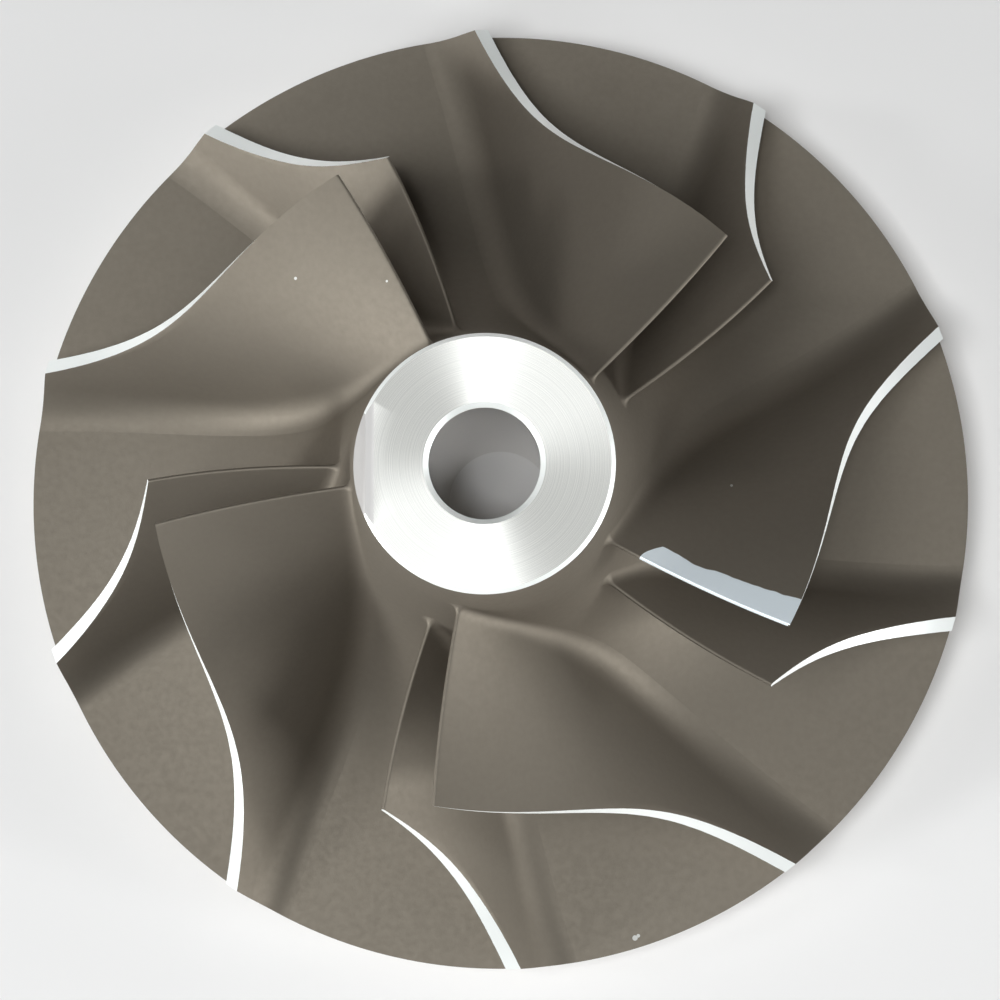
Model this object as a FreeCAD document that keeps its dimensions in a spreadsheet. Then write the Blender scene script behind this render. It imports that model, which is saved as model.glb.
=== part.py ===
import FreeCAD, Part
import math
import os
import Sketcher

# Compressor wheel of a turbocharger: one aluminium casting with full blades and splitters between them.
# It stands on its machined back boss: origin at the centre of the boss face, +Z along the bore to the nose.
# Lengths are millimetres and angles degrees.  Heights of blade points are measured from the front face
# of the disc at the rim.

SIZES = {
    # disc, back boss and bore
    "wheel_radius": 43.0,
    "rim_thickness": 1.2,
    "back_taper": 0.8,
    "back_taper_radius": 31.0,
    "boss_radius": 12.0,
    "boss_height": 2.5,
    "boss_fillet": 1.6,
    "bore_radius": 4.75,
    "bore_chamfer": 0.45,
    # hub curve from the rim up to the nose, and the handles that shape its two ends
    "nose_radius": 11.1,
    "nose_height": 31.9,
    "nose_chamfer": 0.35,
    "hub_rim_run": 19.8,
    "hub_rim_rise": 0.86,
    "hub_nose_flare": 1.8,
    "hub_nose_drop": 26.7,
    # turned contour of the blade edges, from the exit at the rim up to the inlet, and its handles
    "exit_width": 3.7,
    "inlet_radius": 29.1,
    "inlet_height": 24.2,
    "contour_exit_run": 10.95,
    "contour_exit_rise": 3.57,
    "contour_inlet_drop": 6.92,
    # middle surface of the blades, and where their leading edges start and end
    "blade_count": 5,
    "exit_angle": 95.6,
    "back_sweep": 5.3,
    "blade_lean": 23.7,
    "inducer_wrap": 24.1,
    "wrap_power": 3.65,
    "full_root_height": 24.35,
    "splitter_tip_height": 16.05,
    "splitter_root_height": 17.2,
    # section of the blades
    "full_exit_thickness": 0.95,
    "splitter_exit_thickness": 1.05,
    "inlet_thickness": 0.4,
    "root_thickening": 0.5,
    "root_flare_height": 1.2,
    "root_flare_width": 0.7,
    # two flats ground on the nose to balance the wheel, a shallow one and a steep one beyond it
    "shallow_flat_offset": 9.35,
    "shallow_flat_slope": 12.0,
    "steep_flat_offset": 9.95,
    "steep_flat_slope": 52.0,
    "grinding_length": 8.0,
}

OVERRUN = 0.6               # how far a blade blank runs past the surfaces that trim it
TOLERANCE = 0.001
THINNING_POWER = 2.5        # a blade keeps its thickness from the exit and thins late, near its leading edge
BLADE_STATIONS = 10         # points along each side of a blade section

doc = FreeCAD.newDocument("CompressorWheel")


def make_sheet():
    """Put the driving dimensions into a spreadsheet, one aliased cell each."""
    sheet = doc.addObject("Spreadsheet::Sheet", "Sizes")
    for row, (name, value) in enumerate(SIZES.items(), start=1):
        sheet.set(f"A{row}", name)
        sheet.set(f"B{row}", str(value))
        sheet.setAlias(f"B{row}", name)
    doc.recompute()
    return sheet


sizes = make_sheet()
disc_front = sizes.boss_height + sizes.back_taper + sizes.rim_thickness
nose_face = disc_front + sizes.nose_height

DISC_BACK = "Sizes.boss_height + Sizes.back_taper"
DISC_FRONT = f"{DISC_BACK} + Sizes.rim_thickness"
NOSE_FACE = f"{DISC_FRONT} + Sizes.nose_height"


# ---------------------------------------------------------------- curves in the (radius, height) plane

def hub_corners():
    """End points and handles of the hub curve, rim first."""
    nose_end = f"{NOSE_FACE} - Sizes.nose_chamfer"
    return (
        ("Sizes.wheel_radius", DISC_FRONT),
        ("Sizes.wheel_radius - Sizes.hub_rim_run", f"{DISC_FRONT} + Sizes.hub_rim_rise"),
        ("Sizes.nose_radius + Sizes.hub_nose_flare", f"{nose_end} - Sizes.hub_nose_drop"),
        ("Sizes.nose_radius", nose_end),
    )


def contour_corners():
    """End points and handles of the turned contour of the blade edges, exit first."""
    exit_edge = f"{DISC_FRONT} + Sizes.exit_width"
    inlet_edge = f"{DISC_FRONT} + Sizes.inlet_height"
    return (
        ("Sizes.wheel_radius", exit_edge),
        ("Sizes.wheel_radius - Sizes.contour_exit_run", f"{exit_edge} + Sizes.contour_exit_rise"),
        ("Sizes.inlet_radius", f"{inlet_edge} - Sizes.contour_inlet_drop"),
        ("Sizes.inlet_radius", inlet_edge),
    )


def sheet_value(expression):
    """Number that an expression with sheet names comes to."""
    result = sizes.evalExpression(expression.replace("Sizes.", ""))
    return float(getattr(result, "Value", result))


def meridional_curve(corners):
    """A curve through its corners as (radius, height above the disc) vectors, to place the blades along."""
    curve = Part.BezierCurve()
    curve.setPoles([FreeCAD.Vector(sheet_value(radius), sheet_value(height) - disc_front)
                    for radius, height in corners])
    return curve


def share_at_height(curve, height):
    """Parameter where a rising meridional curve reaches a height, by halving the interval."""
    low, high = 0.0, 1.0
    while high - low > TOLERANCE ** 2:
        middle = (low + high) / 2
        if curve.value(middle).y < height:
            low = middle
        else:
            high = middle
    return high


# ---------------------------------------------------------------- turned hub

class Profile:
    """A closed sketch in a body's XZ plane, its corners and curve handles tied to (radius, height) pairs."""

    def __init__(self, body, name):
        plane = next(item for item in body.Origin.OriginFeatures if item.Role == "XZ_Plane")
        self.sketch = body.newObject("Sketcher::SketchObject", name)
        self.sketch.AttachmentSupport = [(plane, "")]
        self.sketch.MapMode = "FlatFace"

    def place(self, corner):
        return FreeCAD.Vector(sheet_value(corner[0]), sheet_value(corner[1]), 0)

    def tie(self, geometry, point, corner):
        for kind, axis, expression in (("DistanceX", -2, corner[0]), ("DistanceY", -1, corner[1])):
            if expression == "0":
                self.sketch.addConstraint(Sketcher.Constraint("PointOnObject", geometry, point, axis))
            else:
                held = Sketcher.Constraint(kind, -1, 1, geometry, point, sheet_value(expression))
                number = self.sketch.addConstraint(held)
                self.sketch.setExpression(f"Constraints[{number}]", expression)

    def add_line(self, start, end):
        line = self.sketch.addGeometry(Part.LineSegment(self.place(start), self.place(end)))
        self.tie(line, 1, start)
        self.tie(line, 2, end)

    def add_curve(self, corners):
        """A cubic curve that leaves its first corner towards its handle and reaches the last from the other."""
        bezier = Part.BezierCurve()
        bezier.setPoles([self.place(corner) for corner in corners])
        curve = self.sketch.addGeometry(bezier.toBSpline())
        self.sketch.exposeInternalGeometry(curve)
        for number, corner in enumerate(corners, start=1):
            self.tie(curve + number, 3, corner)


def circles_at(feature, radius, height):
    """Names of a turned feature's circular edges with this radius and height."""
    names = []
    for number, edge in enumerate(feature.Shape.Edges, start=1):
        if not isinstance(edge.Curve, Part.Circle):
            continue
        off_size = abs(edge.Curve.Radius - radius)
        off_height = abs(edge.Curve.Center.z - height)
        if max(off_size, off_height) < TOLERANCE:
            names.append(f"Edge{number}")
    return names


def make_hub():
    """Disc, hub and back boss, turned as one solid of revolution round the bore."""
    body = doc.addObject("PartDesign::Body", "Hub")
    profile = Profile(body, "HubProfile")
    hub_curve = hub_corners()
    corners = [
        hub_curve[-1],
        ("Sizes.nose_radius - Sizes.nose_chamfer", NOSE_FACE),
        ("Sizes.bore_radius", NOSE_FACE),
        ("Sizes.bore_radius", "0"),
        ("Sizes.boss_radius", "0"),
        ("Sizes.boss_radius", "Sizes.boss_height"),
        ("Sizes.back_taper_radius", "Sizes.boss_height"),
        ("Sizes.wheel_radius", DISC_BACK),
        hub_curve[0],
    ]
    for start, end in zip(corners, corners[1:]):
        profile.add_line(start, end)
    profile.add_curve(hub_curve)
    doc.recompute()

    turned = body.newObject("PartDesign::Revolution", "TurnedHub")
    turned.Profile = profile.sketch
    turned.ReferenceAxis = (profile.sketch, ["V_Axis"])
    turned.Angle = 360
    doc.recompute()

    fillet = body.newObject("PartDesign::Fillet", "BossFillet")
    fillet.Base = (turned, circles_at(turned, sizes.boss_radius, sizes.boss_height))
    fillet.setExpression("Radius", "Sizes.boss_fillet")
    doc.recompute()

    chamfer = body.newObject("PartDesign::Chamfer", "BoreChamfers")
    bore_ends = circles_at(fillet, sizes.bore_radius, 0) + circles_at(fillet, sizes.bore_radius, nose_face)
    chamfer.Base = (fillet, bore_ends)
    chamfer.setExpression("Size", "Sizes.bore_chamfer")
    doc.recompute()
    return body


# ---------------------------------------------------------------- blades

def blade_angle(radius, height):
    """Angle about the axis of the blades' middle surface, in degrees.

    It sweeps back towards the exit, leans with its height above the disc and wraps ever faster
    towards the inlet.
    """
    rise = height / sizes.inlet_height
    sweep = sizes.back_sweep * ((radius / sizes.wheel_radius) ** 2 - 1)
    wrap = sizes.inducer_wrap * max(rise, 0.0) ** sizes.wrap_power
    return sizes.exit_angle + sweep - sizes.blade_lean * rise - wrap


def blade_point(radius, height):
    angle = math.radians(blade_angle(radius, height))
    return FreeCAD.Vector(radius * math.cos(angle), radius * math.sin(angle), disc_front + height)


def blade_normal(radius, height):
    """Unit normal of the middle surface, on the side of growing angle."""
    along_radius = blade_point(radius + TOLERANCE, height) - blade_point(radius - TOLERANCE, height)
    along_height = blade_point(radius, height + TOLERANCE) - blade_point(radius, height - TOLERANCE)
    return along_height.cross(along_radius).normalize()


def through_points(points):
    """A smooth edge through a row of points, numbered evenly so that rows match each other."""
    curve = Part.BSplineCurve()
    curve.interpolate(Points=points, Parameters=[float(number) for number in range(len(points))])
    return curve.toShape()


def blade_section(blade, above_hub, flare):
    """Edges of one section of a blade: near side, round leading edge and far side.

    The section runs along the hub at a height above it, or along the contour where that height is
    None, and it is wider by the flare on each side.
    """
    near_side, far_side, middles = [], [], []
    for station in range(BLADE_STATIONS):
        share = station / (BLADE_STATIONS - 1)
        low = blade["hub_curve"].value(blade["root_share"] * share)
        high = blade["contour"].value(blade["tip_share"] * share)
        span = (high - low).Length
        reach = span if above_hub is None else above_hub
        place = low + (high - low) * (reach / span)
        if station == 0:
            place.x += OVERRUN
        body = blade["exit_thickness"] + sizes.root_thickening * (1 - reach / span)
        half = (body - (body - sizes.inlet_thickness) * share ** THINNING_POWER) / 2 + flare
        normal = blade_normal(place.x, place.y)
        middles.append(blade_point(place.x, place.y))
        near_side.append(middles[-1] + normal * half)
        far_side.append(middles[-1] - normal * half)
    ahead = middles[-1] - middles[-2]
    ahead = (ahead - normal * ahead.dot(normal)).normalize()
    nose = Part.Arc(near_side[-1], middles[-1] + ahead * half, far_side[-1])
    return through_points(near_side), nose.toShape(), through_points(far_side)


def exit_line(section):
    near_side, nose, far_side = section
    return Part.makeLine(near_side.Vertexes[0].Point, far_side.Vertexes[0].Point)


def make_blade_blank(name, root_height, tip_height, exit_thickness):
    """A blade that still runs into the hub and past the rim.

    Straight lines join three sections: one sunk in the hub, one where the root flare ends and one
    on the contour.
    """
    hub_curve = meridional_curve(hub_corners())
    contour = meridional_curve(contour_corners())
    blade = {
        "hub_curve": hub_curve,
        "contour": contour,
        "root_share": share_at_height(hub_curve, root_height),
        "tip_share": share_at_height(contour, tip_height),
        "exit_thickness": exit_thickness,
    }
    sunk_flare = sizes.root_flare_width * (1 + OVERRUN / sizes.root_flare_height)
    sections = [
        blade_section(blade, -OVERRUN, sunk_flare),
        blade_section(blade, sizes.root_flare_height, 0),
        blade_section(blade, None, 0),
    ]
    faces = []
    for lower, upper in zip(sections, sections[1:]):
        faces += [Part.makeRuledSurface(*pair) for pair in zip(lower, upper)]
        faces.append(Part.makeRuledSurface(exit_line(lower), exit_line(upper)))
    for near_side, nose, far_side in (sections[0], sections[-1]):
        faces.append(Part.makeRuledSurface(near_side, far_side))
        nose_base = Part.makeLine(nose.Vertexes[0].Point, nose.Vertexes[-1].Point)
        faces.append(Part.Face(Part.Wire([nose, nose_base])))
    shell = Part.makeShell(faces)
    shell.sewShape(TOLERANCE)
    solid = Part.Solid(shell)
    if solid.Volume < 0:
        solid.reverse()
    blank = doc.addObject("Part::Feature", name)
    blank.Shape = solid
    return blank


def make_blade(name, blank, rim_limit):
    """A blade blank cut off at the turned rim."""
    blade = doc.addObject("Part::Common", name)
    blade.Base = blank
    blade.Tool = rim_limit
    return blade


def make_ring_of(name, blade, offset):
    """Copies of a blade round the axis, the first turned by an offset in shares of the pitch."""
    copies = []
    for number in range(int(sizes.blade_count)):
        copy = doc.addObject("App::Link", f"{name}{number + 1}")
        copy.LinkedObject = blade
        copy.setExpression("Placement.Rotation.Angle", f"360 deg / Sizes.blade_count * {number + offset}")
        copies.append(copy)
    return copies


# ---------------------------------------------------------------- the whole wheel

def make_rim_limit():
    limit = doc.addObject("Part::Cylinder", "RimLimit")
    limit.setExpression("Radius", "Sizes.wheel_radius")
    limit.setExpression("Height", NOSE_FACE)
    return limit


def make_flat(name):
    """A block whose underside is a flat ground on the nose, sloping down and out on the -X side."""
    block = doc.addObject("Part::Box", f"{name.capitalize()}Flat")
    for side in ("Length", "Width", "Height"):
        block.setExpression(side, "Sizes.grinding_length * 2")
    slope = f"Sizes.{name}_flat_slope * 1 deg"
    block.setExpression("Placement.Rotation.Axis.y", "-1")
    block.setExpression("Placement.Rotation.Axis.z", "0")
    block.setExpression("Placement.Rotation.Angle", slope)
    block.setExpression("Placement.Base.x",
                        f"-Sizes.{name}_flat_offset - Sizes.grinding_length * cos({slope})")
    block.setExpression("Placement.Base.y", "-Sizes.grinding_length")
    block.setExpression("Placement.Base.z", f"{NOSE_FACE} - Sizes.grinding_length * sin({slope})")
    return block


def make_wheel():
    hub = make_hub()
    rim_limit = make_rim_limit()
    full_blank = make_blade_blank("FullBladeBlank", sizes.full_root_height, sizes.inlet_height,
                                  sizes.full_exit_thickness)
    splitter_blank = make_blade_blank("SplitterBlank", sizes.splitter_root_height, sizes.splitter_tip_height,
                                      sizes.splitter_exit_thickness)
    full_blades = make_ring_of("FullBlade", make_blade("FullBlade", full_blank, rim_limit), 0)
    splitters = make_ring_of("Splitter", make_blade("Splitter", splitter_blank, rim_limit), -0.5)
    casting = doc.addObject("Part::MultiFuse", "Casting")
    casting.Shapes = [hub] + full_blades + splitters
    wheel = casting
    for name in ("shallow", "steep"):
        ground = doc.addObject("Part::Cut", f"Ground{name.capitalize()}")
        ground.Base = wheel
        ground.Tool = make_flat(name)
        wheel = ground
    wheel.Label = "compressor_wheel"
    wheel.Placement = FreeCAD.Placement()
    doc.recompute()
    return wheel


def check(parts):
    """Stop if any object failed, or if a part isn't one valid solid."""
    for item in doc.Objects:
        if {"Invalid", "Error"} & set(item.State):
            raise RuntimeError(f"{item.Name} failed: {item.State}")
    for part in parts:
        if part.Shape.isNull() or not part.Shape.isValid() or len(part.Shape.Solids) != 1:
            raise RuntimeError(f"{part.Label} is not one valid solid")


parts = [make_wheel()]
check(parts)
os.makedirs("parts", exist_ok=True)
for part in parts:
    part.Shape.exportStep(f"parts/{part.Label}.step")
    print(part.Label, "volume", round(part.Shape.Volume, 1), "mm3, box", part.Shape.BoundBox)
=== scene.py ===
import bmesh
import bpy
import math
import numpy as np
from mathutils import Matrix, Vector


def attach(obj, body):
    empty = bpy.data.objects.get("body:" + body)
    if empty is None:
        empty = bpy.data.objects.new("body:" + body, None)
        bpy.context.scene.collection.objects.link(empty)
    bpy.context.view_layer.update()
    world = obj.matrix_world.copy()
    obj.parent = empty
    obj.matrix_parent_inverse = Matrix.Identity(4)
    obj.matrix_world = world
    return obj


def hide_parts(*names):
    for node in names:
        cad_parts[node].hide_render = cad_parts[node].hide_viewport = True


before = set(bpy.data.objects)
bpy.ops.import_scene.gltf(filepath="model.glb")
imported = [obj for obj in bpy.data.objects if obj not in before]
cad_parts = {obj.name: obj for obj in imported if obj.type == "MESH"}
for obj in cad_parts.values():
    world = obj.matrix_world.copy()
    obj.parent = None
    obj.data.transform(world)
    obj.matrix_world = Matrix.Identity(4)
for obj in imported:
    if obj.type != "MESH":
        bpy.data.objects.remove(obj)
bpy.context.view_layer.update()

# Compressor wheel.  Lengths are millimetres until a mesh is made, and angles degrees.
# Heights of blade points are measured from the front face of the disc at the rim.
MM = 0.001

# ---------------------------------------------------------------- sizes, as in the source of the part
WHEEL_RADIUS = 43.0
DISC_BACK, DISC_FRONT = 3.3, 4.5
BACK_TAPER_RADIUS = 31.0
BOSS_RADIUS, BOSS_HEIGHT, BOSS_FILLET = 12.0, 2.5, 1.6
BORE_RADIUS, BORE_CHAMFER = 4.75, 0.45
NOSE_RADIUS, NOSE_HEIGHT, NOSE_CHAMFER = 11.1, 31.9, 0.35
NOSE_FACE = DISC_FRONT + NOSE_HEIGHT
HUB_CURVE = ((43.0, 0.0), (23.2, 0.86), (12.9, 4.85), (11.1, 31.55))
CONTOUR = ((43.0, 3.7), (32.05, 7.27), (29.1, 17.28), (29.1, 24.2))
BLADE_COUNT = 5
EXIT_ANGLE, BACK_SWEEP = 95.6, 5.3
BLADE_LEAN, INDUCER_WRAP, WRAP_POWER = 23.7, 24.1, 3.65
INLET_HEIGHT = 24.2
INLET_THICKNESS, ROOT_THICKENING, THINNING_POWER = 0.4, 0.5, 2.5
BALANCE_CUTS = ((9.35, 12.0), (9.95, 52.0))     # distance from the axis and slope of each ground flat
BLADES = {
    "full": {"root_height": 24.35, "tip_height": 24.2, "exit_thickness": 0.95, "offset": 0.0},
    "splitter": {"root_height": 17.2, "tip_height": 16.05, "exit_thickness": 1.05, "offset": -36.0},
}

# ---------------------------------------------------------------- shapes of the casting in this scene alone
FILLET_WIDTH, FILLET_HEIGHT = 2.0, 2.4
FILLET_SHARE = 0.6                  # of a blade's height, which a fillet never passes
ROOT_TIGHTENING = 0.55              # share by which the fillet narrows at the leading edge
TIGHTENING_START = 0.6              # share along the blade where it starts to narrow
SQUARED_FROM, SQUARED_TO = 0.05, 0.45           # where the thickness turns square to the middle surface
SINK = 0.4                          # depth of a blade's base in the hub
STEP = 1e-3                         # short distance by which slopes are found
GRINDING_DEPTH = 5.0                # below the nose face, no deeper than which the flats cut

# mesh resolution
AROUND, HUB_ROWS, BOSS_FILLET_ROWS = 288, 150, 9
STATIONS, STATION_CROWDING = 96, 1.35           # along a blade, closer together towards the leading edge
SPAN_ROWS, FILLET_ROWS, NOSE_ROWS = 26, 11, 8
CURVE_POINTS, BEYOND_POINTS = 900, 60
HUB_BEYOND, CONTOUR_BEYOND = 0.3, 2.0           # how far a curve is followed straight on past its end
HALVINGS = 60
NOSE_FACE_MIDDLE, BORE_MIDDLE = 8.0, 18.0       # where rows divide the nose face and the bore
SHARP_ANGLE = 32.0
MERGE_DISTANCE, SMALLEST_EDGE, CUT_CLEARANCE = 2e-6, 1e-7, 1e-6      # metres

CAST, MACHINED, TURNED, BORED, FLATTED = range(5)       # material slots of every piece
UPPER_SIDE, LOWER_SIDE = 1.0, -1.0              # sides of a blade; its round leading edge has nought


def bezier(corners, share):
    """Points of a cubic curve at an array of shares."""
    t = np.asarray(share, float)[..., None]
    a, b, c, d = (np.array(corner, float) for corner in corners)
    return (1 - t) ** 3 * a + 3 * (1 - t) ** 2 * t * b + 3 * (1 - t) * t ** 2 * c + t ** 3 * d


def share_at_height(corners, height):
    """Share where a rising curve reaches a height, by halving the interval."""
    low, high = 0.0, 1.0
    for _ in range(HALVINGS):
        middle = (low + high) / 2
        if bezier(corners, middle)[1] < height:
            low = middle
        else:
            high = middle
    return high


def smooth_step(values, low, high):
    """Shares that rise smoothly from nought to one between two values."""
    t = np.clip((values - low) / (high - low), 0, 1)
    return t * t * (3 - 2 * t)


def unit(v):
    """Vectors brought to a length of one."""
    return v / np.linalg.norm(v, axis=-1, keepdims=True)


def cylindrical(radius, angle, height):
    """Points from radius, angle in radians and height above the disc, along a new last axis."""
    return np.stack([radius * np.cos(angle), radius * np.sin(angle), height + DISC_FRONT], axis=-1)


def blade_angle(radius, height):
    """Angle about the axis of the blades' middle surface."""
    rise = height / INLET_HEIGHT
    sweep = BACK_SWEEP * ((radius / WHEEL_RADIUS) ** 2 - 1)
    return EXIT_ANGLE + sweep - BLADE_LEAN * rise - INDUCER_WRAP * np.maximum(rise, 0) ** WRAP_POWER


def camber(radius, height):
    """Points of the blades' middle surface."""
    return cylindrical(radius, np.radians(blade_angle(radius, height)), height)


def camber_frame(radius, height):
    """Normal of the middle surface on the side of growing angle, and the way round the axis."""
    along_radius = camber(radius + STEP, height) - camber(radius - STEP, height)
    along_height = camber(radius, height + STEP) - camber(radius, height - STEP)
    normal = unit(np.cross(along_height, along_radius))
    angle = np.radians(blade_angle(radius, height))
    around = np.stack([-np.sin(angle), np.cos(angle), np.zeros_like(angle)], axis=-1)
    return normal, around


def onto_curve(points, corners, beyond):
    """Points moved, at their own angle, to the nearest place of a curve turned round the axis."""
    curve = bezier(corners, np.linspace(0, 1, CURVE_POINTS))
    straight_on = np.linspace(curve[-1], curve[-1] + np.array([0, beyond]), BEYOND_POINTS)[1:]
    curve = np.concatenate([curve, straight_on])
    radius = np.hypot(points[..., 0], points[..., 1])
    angle = np.arctan2(points[..., 1], points[..., 0])
    height = points[..., 2] - DISC_FRONT
    gaps = (curve[:, 0] - radius[..., None]) ** 2 + (curve[:, 1] - height[..., None]) ** 2
    nearest = gaps.argmin(axis=-1)
    return cylindrical(curve[nearest, 0], angle, curve[nearest, 1]), nearest, curve


def sink_into_hub(points):
    """Points of the hub surface moved straight into the metal."""
    _, nearest, curve = onto_curve(points, HUB_CURVE, HUB_BEYOND)
    tangent = unit(np.gradient(curve, axis=0))[nearest]
    radius = np.hypot(points[..., 0], points[..., 1]) - SINK * tangent[..., 1]
    height = points[..., 2] - DISC_FRONT + SINK * tangent[..., 0]
    return cylindrical(radius, np.arctan2(points[..., 1], points[..., 0]), height)


# ---------------------------------------------------------------- meshes

class MeshParts:
    """Vertices, faces, material numbers and vertex values of a piece, gathered grid by grid."""

    def __init__(self):
        self.points, self.faces, self.materials, self.values = [], [], [], []

    def add_grid(self, grid, material, values=None, closed=False, flip=False):
        """Adds a grid of points; a closed one joins its last column to its first."""
        rows, columns = grid.shape[:2]
        start = len(self.points)
        self.points += [tuple(p) for p in (grid * MM).reshape(-1, 3)]
        if values is None:
            values = np.zeros((rows, columns, 3))
        self.values += [tuple(v) for v in values.reshape(-1, 3)]
        for row in range(rows - 1):
            for column in range(columns if closed else columns - 1):
                after = (column + 1) % columns
                face = (start + row * columns + column, start + row * columns + after,
                        start + (row + 1) * columns + after, start + (row + 1) * columns + column)
                self.faces.append(face[::-1] if flip else face)
                self.materials.append(material)

    def make(self, name, materials):
        """The piece, with the vertex values as its attribute "place"."""
        mesh = bpy.data.meshes.new(name)
        mesh.from_pydata(self.points, [], self.faces)
        layer = mesh.attributes.new("place", "FLOAT_VECTOR", "POINT")
        layer.data.foreach_set("vector", np.array(self.values, float).ravel())
        for material in materials:
            mesh.materials.append(material)
        mesh.polygons.foreach_set("material_index", self.materials)
        piece = bpy.data.objects.new(name, mesh)
        bpy.context.collection.objects.link(piece)
        bm = bmesh.new()
        bm.from_mesh(mesh)
        bmesh.ops.remove_doubles(bm, verts=bm.verts, dist=MERGE_DISTANCE)
        bmesh.ops.dissolve_degenerate(bm, edges=bm.edges, dist=SMALLEST_EDGE)
        bmesh.ops.recalc_face_normals(bm, faces=bm.faces)
        bm.to_mesh(mesh)
        bm.free()
        mesh.polygons.foreach_set("use_smooth", [True] * len(mesh.polygons))
        mesh.set_sharp_from_angle(angle=math.radians(SHARP_ANGLE))
        return piece


def make_blade(name, kind, turn, materials):
    """A blade with filleted roots, a round leading edge and a turned edge, turned round the axis."""
    shape = BLADES[kind]
    along = 1 - (1 - np.linspace(0, 1, STATIONS)) ** STATION_CROWDING
    low = bezier(HUB_CURVE, share_at_height(HUB_CURVE, shape["root_height"]) * along)
    high = bezier(CONTOUR, share_at_height(CONTOUR, shape["tip_height"]) * along)
    span = np.linalg.norm(high - low, axis=-1)

    def on_side(reach, sign, extra=None):
        """One side of the blade at a distance above the hub, widened round the axis by any extra."""
        share = np.broadcast_to(reach, span.shape) / span
        place = low + (high - low) * share[:, None]
        body = shape["exit_thickness"] + ROOT_THICKENING * (1 - share)
        half = (body - (body - INLET_THICKNESS) * along ** THINNING_POWER) / 2
        normal, around = camber_frame(place[:, 0], place[:, 1])
        across = half / np.abs((normal * around).sum(axis=-1))
        angle = np.radians(blade_angle(place[:, 0], place[:, 1]))
        if extra is not None:
            return cylindrical(place[:, 0], angle + sign * (across + extra) / place[:, 0], place[:, 1])
        turned = cylindrical(place[:, 0], angle + sign * across / place[:, 0], place[:, 1])
        straight = cylindrical(place[:, 0], angle, place[:, 1]) + sign * normal * half[:, None]
        return turned + (straight - turned) * smooth_step(along, SQUARED_FROM, SQUARED_TO)[:, None]

    tightness = 1 - ROOT_TIGHTENING * smooth_step(along, TIGHTENING_START, 1.0)
    fillet = np.minimum(FILLET_HEIGHT, span * FILLET_SHARE) * tightness
    sides = []
    for sign in (1, -1):
        corner = on_side(0.0, sign)
        outer = on_side(0.0, sign, FILLET_WIDTH * tightness)
        upper = on_side(fillet, sign)
        rows, spans = [sink_into_hub(outer)], [np.zeros_like(span)]
        for t in np.linspace(0, 1, FILLET_ROWS):
            rows.append((1 - t) ** 2 * outer + 2 * t * (1 - t) * corner + t ** 2 * upper)
            spans.append(t * fillet / span)
        for t in np.linspace(0, 1, SPAN_ROWS)[1:]:
            reach = fillet + (span - fillet) * t
            rows.append(on_side(reach, sign))
            spans.append(reach / span)
        rows[-1] = onto_curve(rows[-1], CONTOUR, CONTOUR_BEYOND)[0]
        sides.append(np.array(rows))
    near, far = sides
    spans = np.array(spans)

    def side_values(grid, side):
        """Distance from the leading edge in millimetres, share of the height, and which side."""
        steps = np.linalg.norm(np.diff(grid, axis=1), axis=-1)
        behind = np.cumsum(steps[:, ::-1], axis=1)[:, ::-1]
        behind = np.concatenate([behind, np.zeros((len(grid), 1))], axis=1)
        return np.stack([behind, spans, np.full_like(spans, side)], axis=-1)

    parts = MeshParts()
    near_values, far_values = side_values(near, UPPER_SIDE), side_values(far, LOWER_SIDE)
    parts.add_grid(near, CAST, near_values)
    parts.add_grid(far, CAST, far_values, flip=True)
    # turned edge, exit face and buried base
    for place, material in (((-1,), MACHINED), ((slice(None), 0), MACHINED), ((0,), CAST)):
        parts.add_grid(np.array([near[place], far[place]]), material,
                       np.array([near_values[place], far_values[place]]))
    # round leading edge, whose foot runs out onto the hub
    first, last = near[:, -1], far[:, -1]
    middle, half = (first + last) / 2, (first - last) / 2
    ahead = middle - (near[:, -2] + far[:, -2]) / 2
    ahead = unit(ahead - unit(half) * (ahead * unit(half)).sum(axis=-1, keepdims=True))
    bulge = np.linalg.norm(half, axis=-1)[:, None]
    turns = np.linspace(0, math.pi, NOSE_ROWS)
    nose = np.array([middle + half * math.cos(a) + ahead * bulge * math.sin(a) for a in turns])
    nose[:, 1] = onto_curve(nose[:, 1], HUB_CURVE, HUB_BEYOND)[0]
    nose[:, 0] = sink_into_hub(nose[:, 1])
    nose[0], nose[-1] = first, last
    nose_values = np.zeros(nose.shape)
    nose_values[..., 1] = spans[:, -1]
    parts.add_grid(nose, CAST, nose_values)
    # flat caps of the leading edge at the buried base and at the contour
    for end, material in ((0, CAST), (-1, MACHINED)):
        chord = np.linspace(nose[0, end], nose[-1, end], NOSE_ROWS)
        parts.add_grid(np.array([nose[:, end], chord]), material)
    piece = parts.make(name, materials)
    piece.data.transform(Matrix.Rotation(math.radians(turn + shape["offset"]), 4, "Z"))
    return piece


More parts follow.
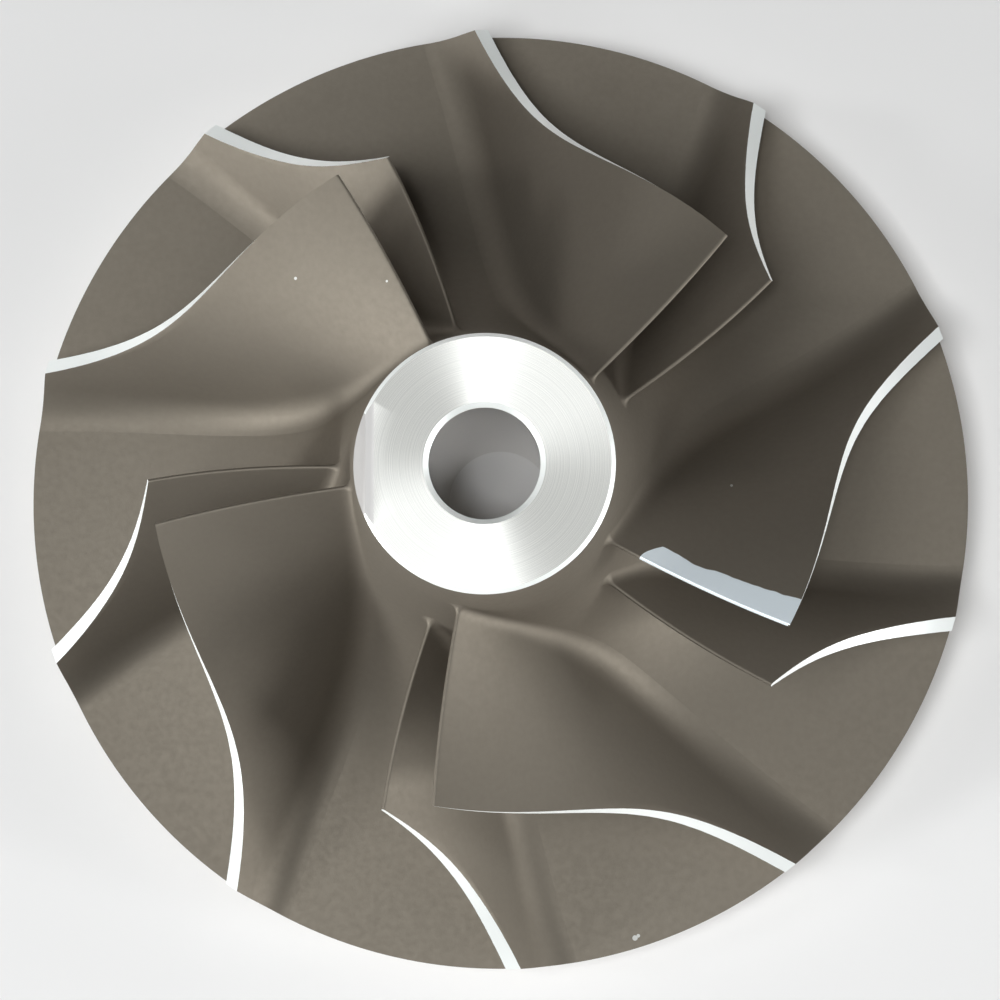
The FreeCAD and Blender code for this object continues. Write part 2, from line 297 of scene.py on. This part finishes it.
def make_hub(materials):
    """Disc, hub, nose, bore and back boss, turned round the axis."""
    hub_curve = bezier(HUB_CURVE, np.linspace(0, 1, HUB_ROWS)) + np.array([0, DISC_FRONT])
    fillet = [(BOSS_RADIUS + BOSS_FILLET * (1 - math.cos(a)), BOSS_HEIGHT - BOSS_FILLET * (1 - math.sin(a)))
              for a in np.linspace(0, math.pi / 2, BOSS_FILLET_ROWS)]
    chamfer_edge = BORE_RADIUS + BORE_CHAMFER
    nose_edge, bore_top = NOSE_RADIUS - NOSE_CHAMFER, NOSE_FACE - BORE_CHAMFER
    runs = [
        (hub_curve, CAST),
        ([(NOSE_RADIUS, NOSE_FACE - NOSE_CHAMFER), (nose_edge, NOSE_FACE)], MACHINED),
        ([(nose_edge, NOSE_FACE), (NOSE_FACE_MIDDLE, NOSE_FACE), (chamfer_edge, NOSE_FACE)], TURNED),
        ([(chamfer_edge, NOSE_FACE), (BORE_RADIUS, bore_top)], MACHINED),
        ([(BORE_RADIUS, bore_top), (BORE_RADIUS, BORE_MIDDLE), (BORE_RADIUS, BORE_CHAMFER)], BORED),
        ([(BORE_RADIUS, BORE_CHAMFER), (chamfer_edge, 0)], MACHINED),
        ([(chamfer_edge, 0), (BOSS_RADIUS, 0)], TURNED),
        ([(BOSS_RADIUS, 0)] + fillet, TURNED),
        ([fillet[-1], (BACK_TAPER_RADIUS, BOSS_HEIGHT), (WHEEL_RADIUS, DISC_BACK)], TURNED),
        ([(WHEEL_RADIUS, DISC_BACK), (WHEEL_RADIUS, DISC_FRONT)], MACHINED),
    ]
    angles = np.linspace(0, 2 * math.pi, AROUND, endpoint=False)
    parts = MeshParts()
    for profile, material in runs:
        grid = np.array([[(r * math.cos(a), r * math.sin(a), z) for a in angles] for r, z in profile])
        parts.add_grid(grid, material, closed=True)
    piece = parts.make("hub", materials)
    for offset, slope in BALANCE_CUTS:
        grind_flat(piece, offset, slope)
    return piece


def grind_flat(piece, offset, slope):
    """Grinds a flat on the nose, sloping down and out on its -X side."""
    bm = bmesh.new()
    bm.from_mesh(piece.data)
    slope = math.radians(slope)
    point = Vector((-offset, 0, NOSE_FACE)) * MM
    normal = Vector((-math.sin(slope), 0, math.cos(slope)))
    lowest = (NOSE_FACE - GRINDING_DEPTH) * MM
    near_nose = [f for f in bm.faces if f.calc_center_median().z > lowest]
    geometry = near_nose + [e for e in bm.edges if e.link_faces[0] in set(near_nose)]
    geometry += list({v for f in near_nose for v in f.verts})
    bmesh.ops.bisect_plane(bm, geom=geometry, dist=SMALLEST_EDGE, plane_co=point, plane_no=normal)
    cut_off = [v for v in bm.verts
               if v.co.z > lowest and v.co.x < 0 and (v.co - point).dot(normal) > CUT_CLEARANCE]
    bmesh.ops.delete(bm, geom=cut_off, context="VERTS")
    made = bmesh.ops.contextual_create(bm, geom=[e for e in bm.edges if e.is_boundary])
    for face in made["faces"]:
        face.material_index = FLATTED
        face.smooth = False
    bmesh.ops.recalc_face_normals(bm, faces=bm.faces)
    bm.to_mesh(piece.data)
    bm.free()
    piece.data.set_sharp_from_angle(angle=math.radians(SHARP_ANGLE))


# ---------------------------------------------------------------- materials

CAST_METALLIC = 0.9
CAST_COLOURS = (0.2, (0.201, 0.173, 0.138)), (0.8, (0.214, 0.186, 0.150))
CAST_ROUGHNESS = (0.3, 0.63), (0.7, 0.68)
MOTTLE, ROUGH_PATCHES = (70.0, 5.0, 0.6), (1800.0, 3.0, 0.5)         # scale, detail and roughness of a noise
GRAIN, PITS = (5200.0, 3.0, 0.6), (2600.0, 2.0, 0.5)
GRAIN_SHARE, GRAIN_STRENGTH, GRAIN_DEPTH = 0.6, 0.12, 0.04 * MM

# strip ground along one leading edge
GROUND_COLOUR, GROUND_ROUGHNESS, GROUND_METALLIC = (0.86, 0.92, 0.95), 0.36, 0.25
GROUND_START, GROUND_FULL = 0.185, 0.25         # shares of the blade height
GROUND_WIDTH, GROUND_WIDENING, GROUND_WAVE, GROUND_BORDER = 1.7, 0.75, 0.8, 0.06
WAVES, WAVE_MIDDLE = (260.0, 2.0, 0.5), 0.5     # noise of the strip's border, and its middle value

# small bright nicks: X, Y and radius
NICKS = (
    (12.4, -40.2, 0.24), (12.7, -40.0, 0.16), (-17.1, 17.6, 0.13), (-8.8, 16.7, 0.1), (21.1, -0.5, 0.12),
)
NICK_COLOUR = (0.52, 0.51, 0.48)

ACROSS_GROOVES = 0.25               # quarter turn: highlights stretch across the turned grooves
GROOVE_DEPTH, GROOVE_DETAIL = 0.02 * MM, 3.0
GROOVE_ROUGHNESS = (0.3, 0.94), (0.7, 1.06)     # factors on a finish's roughness
# colour, metallic, roughness, anisotropy, groove pitch and groove strength
TURNED_FINISHES = {
    "machined_edges": ((0.93, 0.93, 0.89), 0.3, 0.42, 0.3, 0.05, 0.06),
    "turned_faces": ((0.70, 0.68, 0.635), 0.2, 0.27, 0.95, 0.06, 0.01),
    "bore_wall": ((0.72, 0.69, 0.65), 1.0, 0.10, 0.2, 0.3, 0.05),
    "ground_flats": ((0.50, 0.475, 0.455), 0.35, 0.45, 0.0, 0.2, 0.1),
}

FLOOR_PAINT, FLOOR_ROUGHNESS = (0.86, 0.825, 0.80), 0.8


class Nodes:
    """Short calls to build a node tree.  A value is a number, a tuple or another node's output."""

    def __init__(self, tree):
        self.tree = tree

    def put(self, value, socket):
        """Sets an input, or links another node's output to it."""
        if isinstance(value, bpy.types.NodeSocket):
            self.tree.links.new(value, socket)
        else:
            socket.default_value = value

    def add(self, kind, inputs, **settings):
        """A new node with these values in its inputs."""
        node = self.tree.nodes.new(kind)
        for name, value in settings.items():
            setattr(node, name, value)
        for name, value in inputs.items():
            self.put(value, node.inputs[name])
        return node

    def math(self, operation, *values):
        """The result of a math node."""
        return self.add("ShaderNodeMath", dict(enumerate(values)), operation=operation).outputs[0]

    def fade(self, value, from_min, from_max, to_min=0.0, to_max=1.0):
        """A value's range carried over to another range, and held at its ends."""
        inputs = {"Value": value, "From Min": from_min, "From Max": from_max,
                  "To Min": to_min, "To Max": to_max}
        return self.add("ShaderNodeMapRange", inputs).outputs["Result"]

    def mix(self, factor, first, second):
        """A colour mixed from two, by a factor."""
        inputs = {0: factor, 6: first, 7: (*second, 1.0)}
        return self.add("ShaderNodeMix", inputs, data_type="RGBA").outputs[2]

    def ramp(self, value, stops):
        """A colour or grey by a value, from its places and the colours or greys there."""
        node = self.add("ShaderNodeValToRGB", {"Fac": value})
        for element, (place, colour) in zip(node.color_ramp.elements, stops):
            element.position = place
            element.color = (*colour, 1.0) if isinstance(colour, tuple) else (colour, colour, colour, 1.0)
        return node.outputs["Color"]

    def position(self):
        """Position in the space of the piece."""
        return self.add("ShaderNodeTexCoord", {}).outputs["Object"]

    def from_axis(self):
        """X and Y of the position, with a height of nought."""
        inputs = {0: self.position(), 1: (1.0, 1.0, 0.0)}
        return self.add("ShaderNodeVectorMath", inputs, operation="MULTIPLY").outputs["Vector"]

    def noise(self, scale, detail, roughness):
        """A noise at the position."""
        inputs = {"Vector": self.position(), "Scale": scale, "Detail": detail, "Roughness": roughness}
        return self.add("ShaderNodeTexNoise", inputs).outputs["Fac"]

    def bump(self, height, strength, depth):
        """A normal that follows a height."""
        inputs = {"Height": height, "Strength": strength, "Distance": depth}
        return self.add("ShaderNodeBump", inputs).outputs["Normal"]

    def nicks(self):
        """One inside the small bright nicks, nought outside."""
        flat, inside = self.from_axis(), 0.0
        for x, y, size in NICKS:
            ends = {0: flat, 1: (x * MM, y * MM, 0.0)}
            away = self.add("ShaderNodeVectorMath", ends, operation="DISTANCE").outputs["Value"]
            inside = self.math("MAXIMUM", inside, self.math("LESS_THAN", away, size * MM))
        return inside

    def ground_strip(self):
        """One inside the strip that was ground along the leading edge, nought outside."""
        place = self.add("ShaderNodeAttribute", {}, attribute_name="place").outputs["Vector"]
        behind, share, side = self.add("ShaderNodeSeparateXYZ", {0: place}).outputs
        width = self.math("MULTIPLY_ADD", share, GROUND_WIDENING, GROUND_WIDTH)
        wave = self.math("SUBTRACT", self.noise(*WAVES), WAVE_MIDDLE)
        width = self.math("MULTIPLY_ADD", wave, GROUND_WAVE / WAVE_MIDDLE, width)
        rounding = self.math("SQRT", self.fade(share, GROUND_START, GROUND_FULL))
        gap = self.math("SUBTRACT", self.math("MULTIPLY", width, rounding), behind)
        upper = self.math("GREATER_THAN", side, LOWER_SIDE / 2)
        return self.math("MULTIPLY", self.fade(gap, 0.0, GROUND_BORDER), upper)


def new_material(name, inputs):
    """A material with one shader, whose inputs these values are, and its nodes."""
    material = bpy.data.materials.new(name)
    material.use_nodes = True
    nodes = Nodes(material.node_tree)
    nodes.tree.nodes.clear()
    shader = nodes.add("ShaderNodeBsdfPrincipled", inputs)
    nodes.add("ShaderNodeOutputMaterial", {"Surface": shader.outputs["BSDF"]})
    return material, nodes, shader


def cast_material(name, ground_edge=False):
    """As-cast aluminium: dark satin, faintly mottled, finely grained and nicked.

    With ground_edge, a strip behind the leading edge on the upper side is ground bright.
    """
    material, nodes, shader = new_material(name, {"Metallic": CAST_METALLIC})
    colour = nodes.ramp(nodes.noise(*MOTTLE), CAST_COLOURS)
    colour = nodes.mix(nodes.nicks(), colour, NICK_COLOUR)
    rough = nodes.ramp(nodes.noise(*ROUGH_PATCHES), CAST_ROUGHNESS)
    height = nodes.math("MULTIPLY_ADD", nodes.noise(*GRAIN), GRAIN_SHARE, nodes.noise(*PITS))
    nodes.put(nodes.bump(height, GRAIN_STRENGTH, GRAIN_DEPTH), shader.inputs["Normal"])
    if ground_edge:
        strip = nodes.ground_strip()
        metallic = nodes.fade(strip, 0.0, 1.0, CAST_METALLIC, GROUND_METALLIC)
        nodes.put(metallic, shader.inputs["Metallic"])
        colour = nodes.mix(strip, colour, GROUND_COLOUR)
        rough = nodes.mix(strip, rough, (GROUND_ROUGHNESS,) * 3)
    nodes.put(colour, shader.inputs["Base Color"])
    nodes.put(rough, shader.inputs["Roughness"])
    return material


def turned_material(name, colour, metallic, roughness, anisotropy, groove_pitch, groove_strength):
    """Bright turned aluminium with fine rings round the axis."""
    material, nodes, shader = new_material(name, {
        "Base Color": (*colour, 1.0), "Metallic": metallic,
        "Anisotropic": anisotropy, "Anisotropic Rotation": ACROSS_GROOVES,
    })
    tangent = nodes.add("ShaderNodeTangent", {}, direction_type="RADIAL", axis="Z").outputs["Tangent"]
    nodes.put(tangent, shader.inputs["Tangent"])
    radius = nodes.add("ShaderNodeVectorMath", {0: nodes.from_axis()}, operation="LENGTH").outputs["Value"]
    height = nodes.add("ShaderNodeSeparateXYZ", {0: nodes.position()}).outputs["Z"]
    along = {"W": nodes.math("ADD", radius, height), "Scale": 1 / (groove_pitch * MM),
             "Detail": GROOVE_DETAIL}
    rings = nodes.add("ShaderNodeTexNoise", along, noise_dimensions="1D").outputs["Fac"]
    rough = nodes.ramp(rings, [(place, roughness * factor) for place, factor in GROOVE_ROUGHNESS])
    nodes.put(rough, shader.inputs["Roughness"])
    nodes.put(nodes.bump(rings, groove_strength, GROOVE_DEPTH), shader.inputs["Normal"])
    return material


# ---------------------------------------------------------------- the wheel

GROUND_BLADE = ("full", 1)

cast = cast_material("as_cast")
ground = cast_material("as_cast_ground_edge", ground_edge=True)
bright = [turned_material(name, *values) for name, values in TURNED_FINISHES.items()]

hub = make_hub([cast, *bright])
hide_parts("compressor_wheel")
wheel_pieces = [hub]
for number in range(BLADE_COUNT):
    for kind in BLADES:
        turn = -360.0 / BLADE_COUNT * number
        surface = ground if (kind, number) == GROUND_BLADE else cast
        wheel_pieces.append(make_blade(f"{kind}_blade_{number + 1}", kind, turn, [surface, *bright]))
for piece in wheel_pieces:
    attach(piece, "root")

# ---------------------------------------------------------------- floor, light and camera

# metres, watts and degrees
FLOOR_SIZE = 1.4
SKY_FILL, HORIZON_GLOW = 0.005, 0.85
HORIZON_FULL, HORIZON_END = 0.125, 0.17         # heights of a ray's direction where the pale band fades
LAMP_DISTANCE = 1.5
SOFTBOX, SPOT, SMALL_SPOT = 0.62, 0.22, 0.12
LAMP_COLOUR = (0.955, 1.0, 1.03)
# azimuth and elevation of each lamp as seen from the wheel, its size and power
LAMPS = {
    "spot_front_left": (205, 12, SPOT, 9.6),
    "low_front_left": (210, 10, SOFTBOX, 8.0),
    "spot_front_right": (345, 12, SPOT, 6.6),
    "low_front_right": (330, 10, SOFTBOX, 9.8),
    "spot_right": (5, 12, SPOT, 2.2),
    "spot_left": (180, 30, SPOT, 2.0),
    "low_front": (270, 10, SOFTBOX, 0.4),
    "high_front_left": (207, 72, SOFTBOX, 11.3),
    "top": (249, 84, SMALL_SPOT, 4.4),
}

CAMERA_DISTANCE = 9 * WHEEL_RADIUS              # millimetres, from the middle of the disc's front
CAMERA_TILT, CAMERA_AZIMUTH = 5.81, -68.0
AIM = (0.114, -0.144)                           # millimetres to the right and up
FOCAL_LENGTH, SENSOR_WIDTH = 151.5, 36.0
CLIP_START = 0.01


def direction(azimuth, elevation):
    """The way from the wheel towards an azimuth and an elevation."""
    azimuth, elevation = math.radians(azimuth), math.radians(elevation)
    level = math.cos(elevation)
    return Vector((level * math.cos(azimuth), level * math.sin(azimuth), math.sin(elevation)))


def make_floor():
    """A pale matt floor."""
    bpy.ops.mesh.primitive_plane_add(size=FLOOR_SIZE)
    floor = bpy.context.object
    floor.name = "floor"
    inputs = {"Base Color": (*FLOOR_PAINT, 1.0), "Roughness": FLOOR_ROUGHNESS}
    floor.data.materials.append(new_material("floor_paint", inputs)[0])
    return floor


def make_world():
    """Almost no light, and a pale band at the horizon for what the camera and the metal see."""
    world = bpy.data.worlds.new("studio")
    world.use_nodes = True
    nodes = Nodes(world.node_tree)
    way = nodes.add("ShaderNodeTexCoord", {}).outputs["Generated"]
    height = nodes.math("ABSOLUTE", nodes.add("ShaderNodeSeparateXYZ", {0: way}).outputs["Z"])
    band = nodes.fade(height, HORIZON_FULL, HORIZON_END, HORIZON_GLOW, SKY_FILL)
    ray = nodes.add("ShaderNodeLightPath", {}).outputs
    seen = nodes.math("MAXIMUM", ray["Is Camera Ray"], ray["Is Glossy Ray"])
    seen = nodes.math("MAXIMUM", seen, ray["Is Transmission Ray"])
    background = nodes.tree.nodes["Background"]
    background.inputs["Color"].default_value = (1.0, 1.0, 1.0, 1.0)
    nodes.put(nodes.fade(seen, 0.0, 1.0, SKY_FILL, band), background.inputs["Strength"])
    bpy.context.scene.world = world


def add_lamp(name, azimuth, elevation, size, power):
    """A square soft lamp in a direction from the wheel, aimed at it."""
    light = bpy.data.lights.new(name, "AREA")
    light.shape = "SQUARE"
    light.size = size
    light.energy = power
    light.color = LAMP_COLOUR
    lamp = bpy.data.objects.new(name, light)
    towards = direction(azimuth, elevation)
    lamp.location = towards * LAMP_DISTANCE
    lamp.rotation_euler = towards.to_track_quat("Z", "Y").to_euler()
    bpy.context.collection.objects.link(lamp)


def add_camera():
    """A camera near the axis, with the photograph's view of the wheel."""
    back = direction(CAMERA_AZIMUTH, 90 - CAMERA_TILT)
    right = (-back).cross(Vector((0, 1, 0))).normalized()
    up = back.cross(right)
    place = Vector((0, 0, DISC_FRONT)) + back * CAMERA_DISTANCE + right * AIM[0] + up * AIM[1]
    data = bpy.data.cameras.new("camera")
    data.lens = FOCAL_LENGTH
    data.sensor_width = SENSOR_WIDTH
    data.clip_start = CLIP_START
    camera = bpy.data.objects.new("camera", data)
    camera.matrix_world = Matrix.Translation(place * MM) @ Matrix((right, up, back)).transposed().to_4x4()
    bpy.context.collection.objects.link(camera)
    bpy.context.scene.camera = camera


floor = make_floor()
make_world()
for lamp_name, settings in LAMPS.items():
    add_lamp(lamp_name, *settings)
add_camera()
bpy.context.scene.view_settings.view_transform = "Standard"
